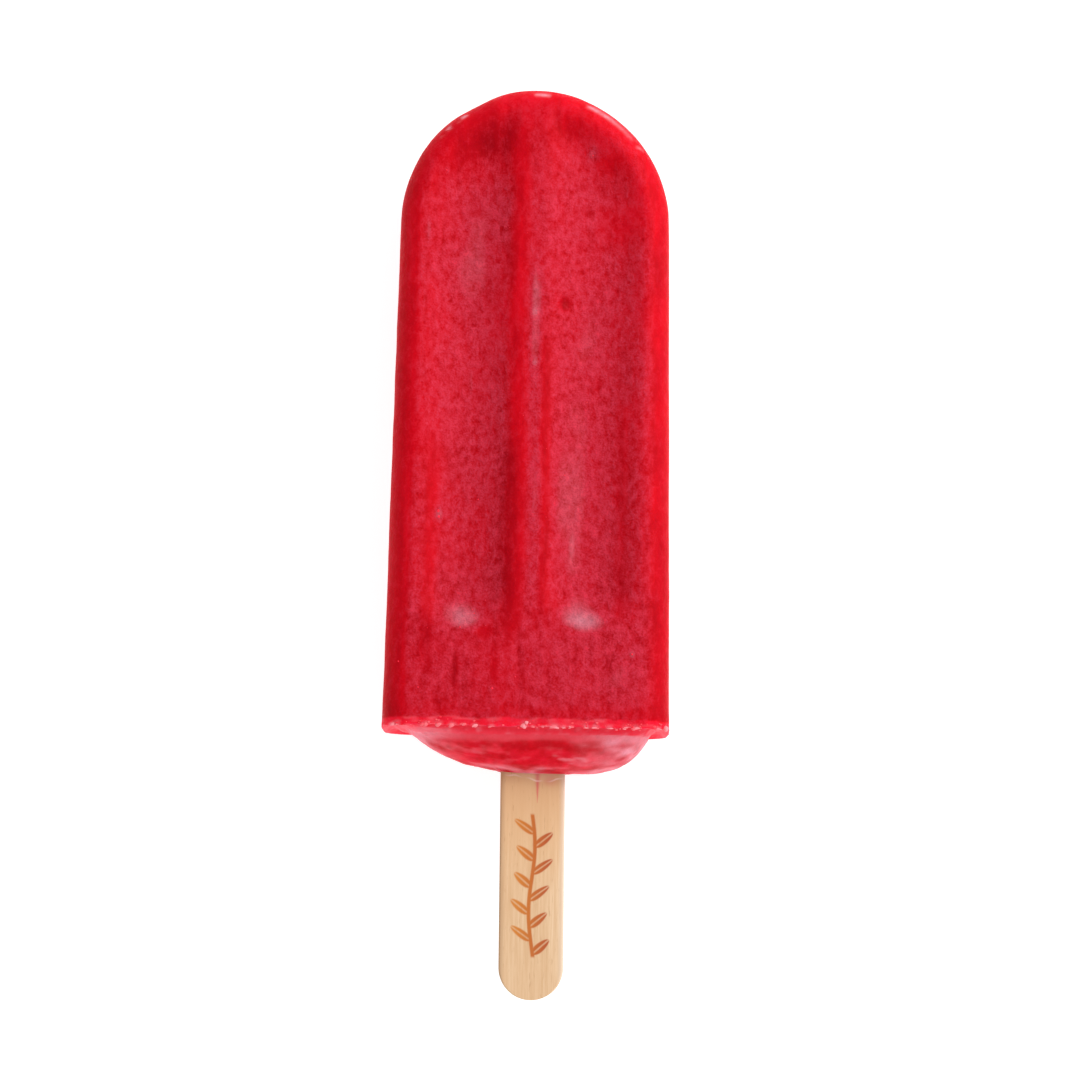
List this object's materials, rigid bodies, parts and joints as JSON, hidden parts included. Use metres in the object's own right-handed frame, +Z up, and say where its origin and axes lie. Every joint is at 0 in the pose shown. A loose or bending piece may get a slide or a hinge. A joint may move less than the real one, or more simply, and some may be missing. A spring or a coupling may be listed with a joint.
{
  "type": "ice pop",
  "caption": "Bar of frozen red fruit ice with a domed tip, channelled broad faces and a humped open end, frozen onto a flat round-ended wooden stick to hold it by.",
  "frame": {"origin": "middle of the footprint, on the surface that the bar lies on", "axes": "+Y from the stick's free end to the bar's domed tip, +Z up out of the shown broad face, +X to the bar's right as seen from above with the tip away"},
  "size_m": [0.0446, 0.1418, 0.0239],
  "materials": {
    "fruit_ice": "frozen fruit ice, red, frosted on its broad faces and clearer along its edges",
    "wood": "bare sliced birch, lightly sanded"
  },
  "bodies": {
    "root": {"ice": "fruit_ice", "stick": "wood"}
  },
  "joints": []
}
